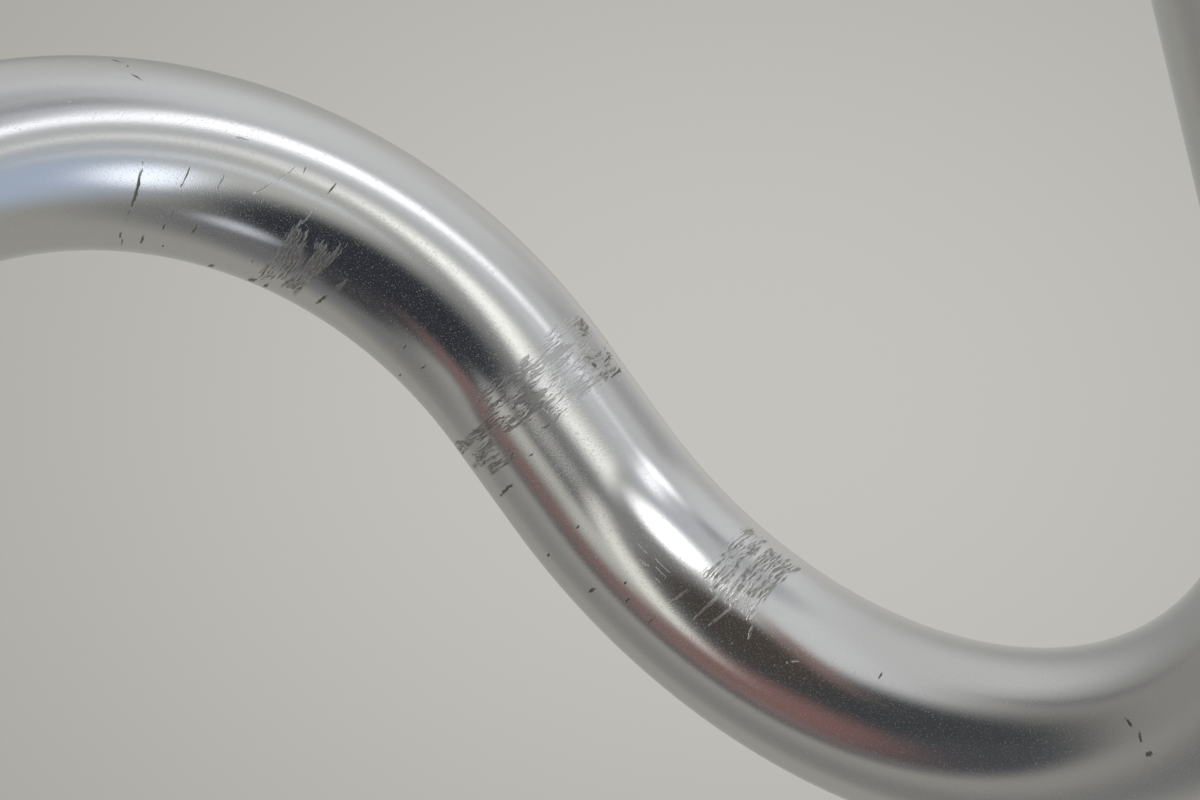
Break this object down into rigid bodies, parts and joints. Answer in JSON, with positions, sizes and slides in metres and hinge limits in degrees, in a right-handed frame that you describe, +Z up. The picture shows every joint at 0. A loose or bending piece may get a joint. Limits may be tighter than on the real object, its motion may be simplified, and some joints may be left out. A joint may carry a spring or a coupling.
{
  "type": "drop handlebar",
  "caption": "Classic drop handlebar for a road bicycle: a bent round tube with a clamp sleeve in the middle and an expander plug in each open end.",
  "frame": {"origin": "centre of the stem clamp, on the axis of the straight top of the bar", "axes": "+X to the rider's right along the top of the bar, +Y forwards, +Z up, with the lower grips level"},
  "size_m": [0.425, 0.163, 0.1746],
  "materials": {
    "bar_tube": "satin, clear anodised",
    "centre_sleeve": "polished",
    "plug_cap": "fine matte texture",
    "plug_washer": "zinc plated",
    "plug_screw": "zinc plated",
    "plug_expander": "matte",
    "plug_wedge": "natural nylon",
    "plug_nut": "zinc plated"
  },
  "bodies": {
    "bar": {"bar_tube": "bar_tube", "centre_sleeve": "centre_sleeve"},
    "right_plug": {"right_plug_cap": "plug_cap", "right_plug_expander": "plug_expander", "right_plug_washer": "plug_washer"},
    "right_screw": {"right_plug_screw": "plug_screw"},
    "right_wedge": {"right_plug_wedge": "plug_wedge", "right_plug_nut": "plug_nut"},
    "left_plug": {"left_plug_cap": "plug_cap", "left_plug_expander": "plug_expander", "left_plug_washer": "plug_washer"},
    "left_screw": {"left_plug_screw": "plug_screw"},
    "left_wedge": {"left_plug_wedge": "plug_wedge", "left_plug_nut": "plug_nut"}
  },
  "joints": [
    {"name": "right_plug_pull", "type": "slide", "parent": "bar", "child": "right_plug", "axis": [0.0398, -0.9992, 0.0016], "range_m": [0, 0.04]},
    {"name": "right_screw_turn", "type": "hinge", "parent": "right_plug", "child": "right_screw", "pos_m": [0.2, -0.04392, -0.14919], "axis": [0.0398, -0.9992, 0.0016], "range_deg": [0, 1800]},
    {"name": "right_wedge_travel", "type": "slide", "parent": "right_plug", "child": "right_wedge", "axis": [0.0398, -0.9992, 0.0016], "range_m": [-0.004, 0]},
    {"name": "left_plug_pull", "type": "slide", "parent": "bar", "child": "left_plug", "axis": [-0.0398, -0.9992, 0.0016], "range_m": [0, 0.04]},
    {"name": "left_screw_turn", "type": "hinge", "parent": "left_plug", "child": "left_screw", "pos_m": [-0.2, -0.04392, -0.14919], "axis": [-0.0398, -0.9992, 0.0016], "range_deg": [0, 1800]},
    {"name": "left_wedge_travel", "type": "slide", "parent": "left_plug", "child": "left_wedge", "axis": [-0.0398, -0.9992, 0.0016], "range_m": [-0.004, 0]}
  ],
  "couplings": [
    {"joint": "right_screw_turn", "follows": "right_wedge_travel", "rad_per_m": -7854},
    {"joint": "left_screw_turn", "follows": "left_wedge_travel", "rad_per_m": -7854}
  ]
}
